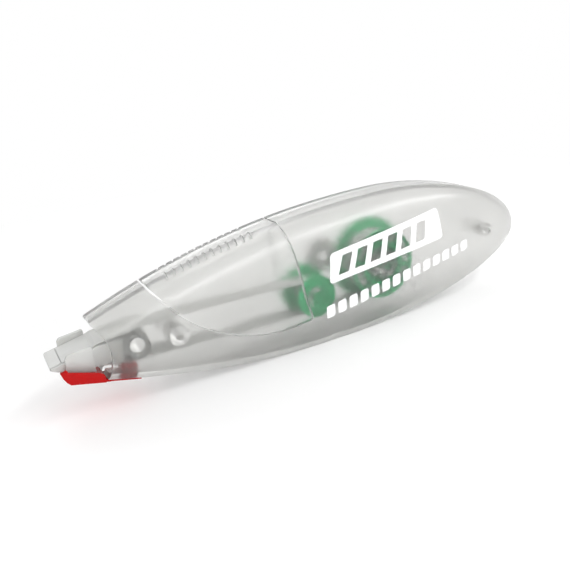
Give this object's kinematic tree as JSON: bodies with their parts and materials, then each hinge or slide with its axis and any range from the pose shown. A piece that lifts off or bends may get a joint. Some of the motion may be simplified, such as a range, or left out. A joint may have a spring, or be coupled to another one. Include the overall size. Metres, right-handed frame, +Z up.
{
  "type": "correction tape roller",
  "caption": "Pen-shaped correction tape roller with a clear two-part body, ridged grip saddle, geared tape spools, blade head and sliding red tip guard.",
  "frame": {"origin": "under the middle of the whole length, at the bottom of the belly", "axes": "+X towards the rounded tail, -X towards the blade, +Y across the body to the gear side, +Z up towards the ridged back"},
  "size_m": [0.1239, 0.0144, 0.032],
  "materials": {
    "frosted_clear": "frosted translucent, satin",
    "milk_plastic": "translucent white, satin",
    "red_plastic": "gloss",
    "green_plastic": "satin gloss",
    "tape": "matt white",
    "print_white": "printed ink"
  },
  "bodies": {
    "root": {"shell_near": "frosted_clear", "shell_far": "frosted_clear", "saddle": "frosted_clear", "tip_head": "milk_plastic", "tape_supply_run": "tape", "tape_tip_wrap": "tape", "tape_return_run": "tape"},
    "supply_drive": {"supply_gear": "green_plastic", "clutch_hub": "milk_plastic"},
    "supply_spool": {"supply_core": "green_plastic", "supply_flange": "green_plastic", "supply_roll": "tape"},
    "takeup": {"takeup_spool": "green_plastic", "takeup_flange": "green_plastic", "takeup_roll": "tape"},
    "idler": {"idler_gear": "milk_plastic"},
    "guard": {"tip_guard": "red_plastic"}
  },
  "joints": [
    {"name": "supply_spin", "type": "hinge", "parent": "root", "child": "supply_drive", "pos_m": [0.0178, 0, 0.0142], "axis": [0, 1, 0], "continuous": true},
    {"name": "clutch_slip", "type": "hinge", "parent": "supply_drive", "child": "supply_spool", "pos_m": [0.0178, 0, 0.0142], "axis": [0, 1, 0], "continuous": true},
    {"name": "takeup_spin", "type": "hinge", "parent": "root", "child": "takeup", "pos_m": [-0.0011, 0, 0.0111], "axis": [0, 1, 0], "continuous": true},
    {"name": "idler_spin", "type": "hinge", "parent": "root", "child": "idler", "pos_m": [0.00515, 0, 0.01798], "axis": [0, 1, 0], "continuous": true},
    {"name": "guard_slide", "type": "slide", "parent": "root", "child": "guard", "axis": [-0.9695, 0, 0.2451], "range_m": [0, 0.003]}
  ],
  "couplings": [
    {"joint": "idler_spin", "follows": "supply_spin", "ratio": -2.6667},
    {"joint": "takeup_spin", "follows": "supply_spin", "ratio": 1.6842}
  ]
}
